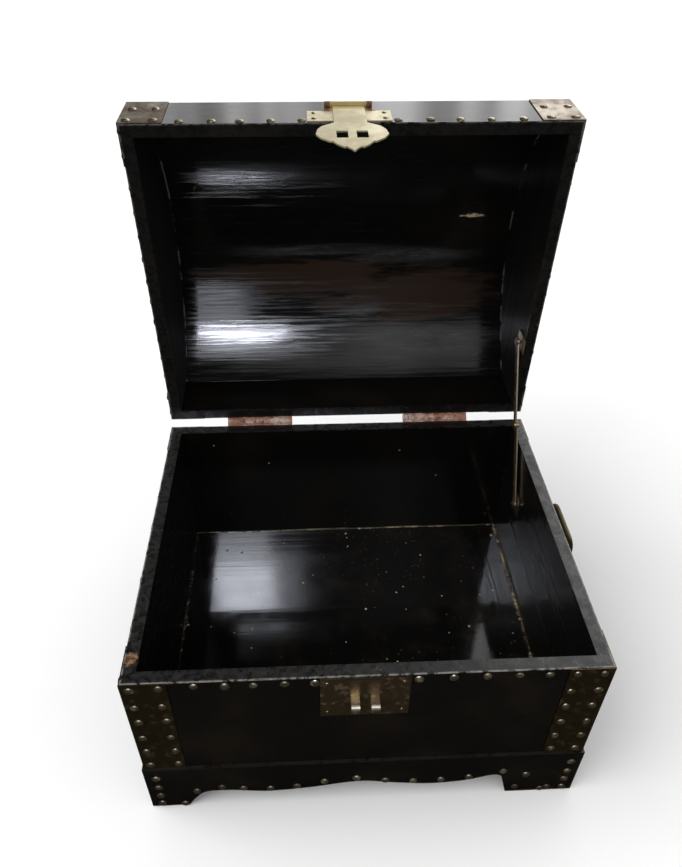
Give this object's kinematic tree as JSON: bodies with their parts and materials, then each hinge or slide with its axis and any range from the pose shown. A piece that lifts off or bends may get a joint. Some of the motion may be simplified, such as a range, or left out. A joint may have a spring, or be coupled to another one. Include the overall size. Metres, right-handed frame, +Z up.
{
  "type": "lacquered chest with wind-up music movement",
  "caption": "Dome-top lacquered wooden chest on bracket feet, brass corner plates, swing hasp, folding lid stay, drop handles and a wind-up music movement under the floor.",
  "frame": {"origin": "centre of the footprint of the open chest's bounding box, on the surface that its feet stand on", "axes": "+X to the chest's right as seen from the front, +Y towards its back and hinges, +Z up; the rest pose is the open lid"},
  "size_m": [0.367, 0.4132, 0.4765],
  "materials": {
    "black_lacquer": "gloss black lacquer, worn at the edges",
    "antique_brass": "dark brown patina",
    "pale_brass": "pale worn brass",
    "staple_brass": "bright worn brass",
    "copper_hinge": "copper-toned worn brass",
    "stay_brass": "golden-brown worn brass",
    "movement_brass": "machined brass",
    "movement_steel": "ground steel"
  },
  "bodies": {
    "base": {"base_front_board": "black_lacquer", "base_rear_board": "black_lacquer", "base_left_board": "black_lacquer", "base_right_board": "black_lacquer", "floor_board": "black_lacquer", "plinth_front": "black_lacquer", "plinth_rear": "black_lacquer", "plinth_left": "black_lacquer", "plinth_right": "black_lacquer", "base_corner_front_left": "antique_brass", "base_corner_front_right": "antique_brass", "base_corner_rear_left": "antique_brass", "base_corner_rear_right": "antique_brass", "hasp_staple_plate": "antique_brass", "hasp_staple_left": "staple_brass", "hasp_staple_right": "staple_brass", "hinge_left_base_leaf": "copper_hinge", "hinge_left_pin": "copper_hinge", "hinge_right_base_leaf": "copper_hinge", "hinge_right_pin": "copper_hinge", "stay_base_bracket": "stay_brass", "handle_left_plate": "antique_brass", "handle_right_plate": "antique_brass", "movement_bedplate": "movement_brass", "comb": "movement_steel"},
    "lid": {"lid_front_board": "black_lacquer", "lid_rear_board": "black_lacquer", "lid_left_end": "black_lacquer", "lid_right_end": "black_lacquer", "lid_stave_1": "black_lacquer", "lid_stave_2": "black_lacquer", "lid_stave_3": "black_lacquer", "lid_stave_4": "black_lacquer", "lid_stave_5": "black_lacquer", "lid_stave_6": "black_lacquer", "lid_stave_7": "black_lacquer", "lid_stave_8": "black_lacquer", "lid_corner_front_left": "pale_brass", "lid_corner_front_right": "pale_brass", "lid_corner_rear_left": "pale_brass", "lid_corner_rear_right": "pale_brass", "hasp_lid_plate": "pale_brass", "hasp_pin": "pale_brass", "hinge_left_lid_leaf": "copper_hinge", "hinge_right_lid_leaf": "copper_hinge", "stay_lid_bracket": "stay_brass"},
    "hasp": {"hasp_flap": "pale_brass"},
    "stay_lower": {"stay_lower_link": "stay_brass"},
    "stay_upper": {"stay_upper_link": "stay_brass"},
    "left_bail": {"handle_left_bail": "antique_brass"},
    "right_bail": {"handle_right_bail": "antique_brass"},
    "barrel": {"spring_barrel": "movement_brass"},
    "winder": {"winding_arbor": "movement_steel", "winding_key": "movement_brass"},
    "cylinder": {"pinned_cylinder": "movement_brass"},
    "governor": {"governor_fan": "movement_steel"}
  },
  "joints": [
    {"name": "lid_hinge", "type": "hinge", "parent": "base", "child": "lid", "pos_m": [0, 0.09686, 0.1775], "axis": [1, 0, 0], "range_deg": [0, 87]},
    {"name": "hasp_hinge", "type": "hinge", "parent": "lid", "child": "hasp", "pos_m": [-0.003, 0.11286, 0.47394], "axis": [-1, 0, 0], "range_deg": [0, 170]},
    {"name": "stay_lower_fold", "type": "hinge", "parent": "base", "child": "stay_lower", "pos_m": [0.1622, 0.02586, 0.122], "axis": [1, 0, 0], "range_deg": [0, 107]},
    {"name": "stay_upper_fold", "type": "hinge", "parent": "lid", "child": "stay_upper", "pos_m": [0.1606, 0.10087, 0.26333], "axis": [1, 0, 0], "range_deg": [-113, 0]},
    {"name": "left_bail_swing", "type": "hinge", "parent": "base", "child": "left_bail", "pos_m": [-0.1796, -0.04914, 0.149], "axis": [0, 1, 0], "range_deg": [-3, 180]},
    {"name": "right_bail_swing", "type": "hinge", "parent": "base", "child": "right_bail", "pos_m": [0.1796, -0.04914, 0.149], "axis": [0, -1, 0], "range_deg": [-183, 0]},
    {"name": "spring_drive", "type": "hinge", "parent": "base", "child": "barrel", "pos_m": [-0.019, -0.03214, 0.02], "axis": [0, 0, 1], "continuous": true},
    {"name": "winding", "type": "hinge", "parent": "base", "child": "winder", "pos_m": [-0.019, -0.03214, 0.015], "axis": [0, 0, 1], "continuous": true},
    {"name": "cylinder_turn", "type": "hinge", "parent": "base", "child": "cylinder", "pos_m": [0.009, -0.03814, 0.02], "axis": [1, 0, 0], "continuous": true},
    {"name": "governor_spin", "type": "hinge", "parent": "base", "child": "governor", "pos_m": [0.031, -0.03514, 0.02], "axis": [0, 0, 1], "continuous": true}
  ],
  "couplings": [
    {"joint": "stay_lower_fold", "follows": "lid_hinge", "ratio": 1.2243},
    {"joint": "stay_upper_fold", "follows": "lid_hinge", "ratio": -1.2881},
    {"joint": "cylinder_turn", "follows": "spring_drive", "ratio": 1.5},
    {"joint": "governor_spin", "follows": "spring_drive", "ratio": -20}
  ]
}
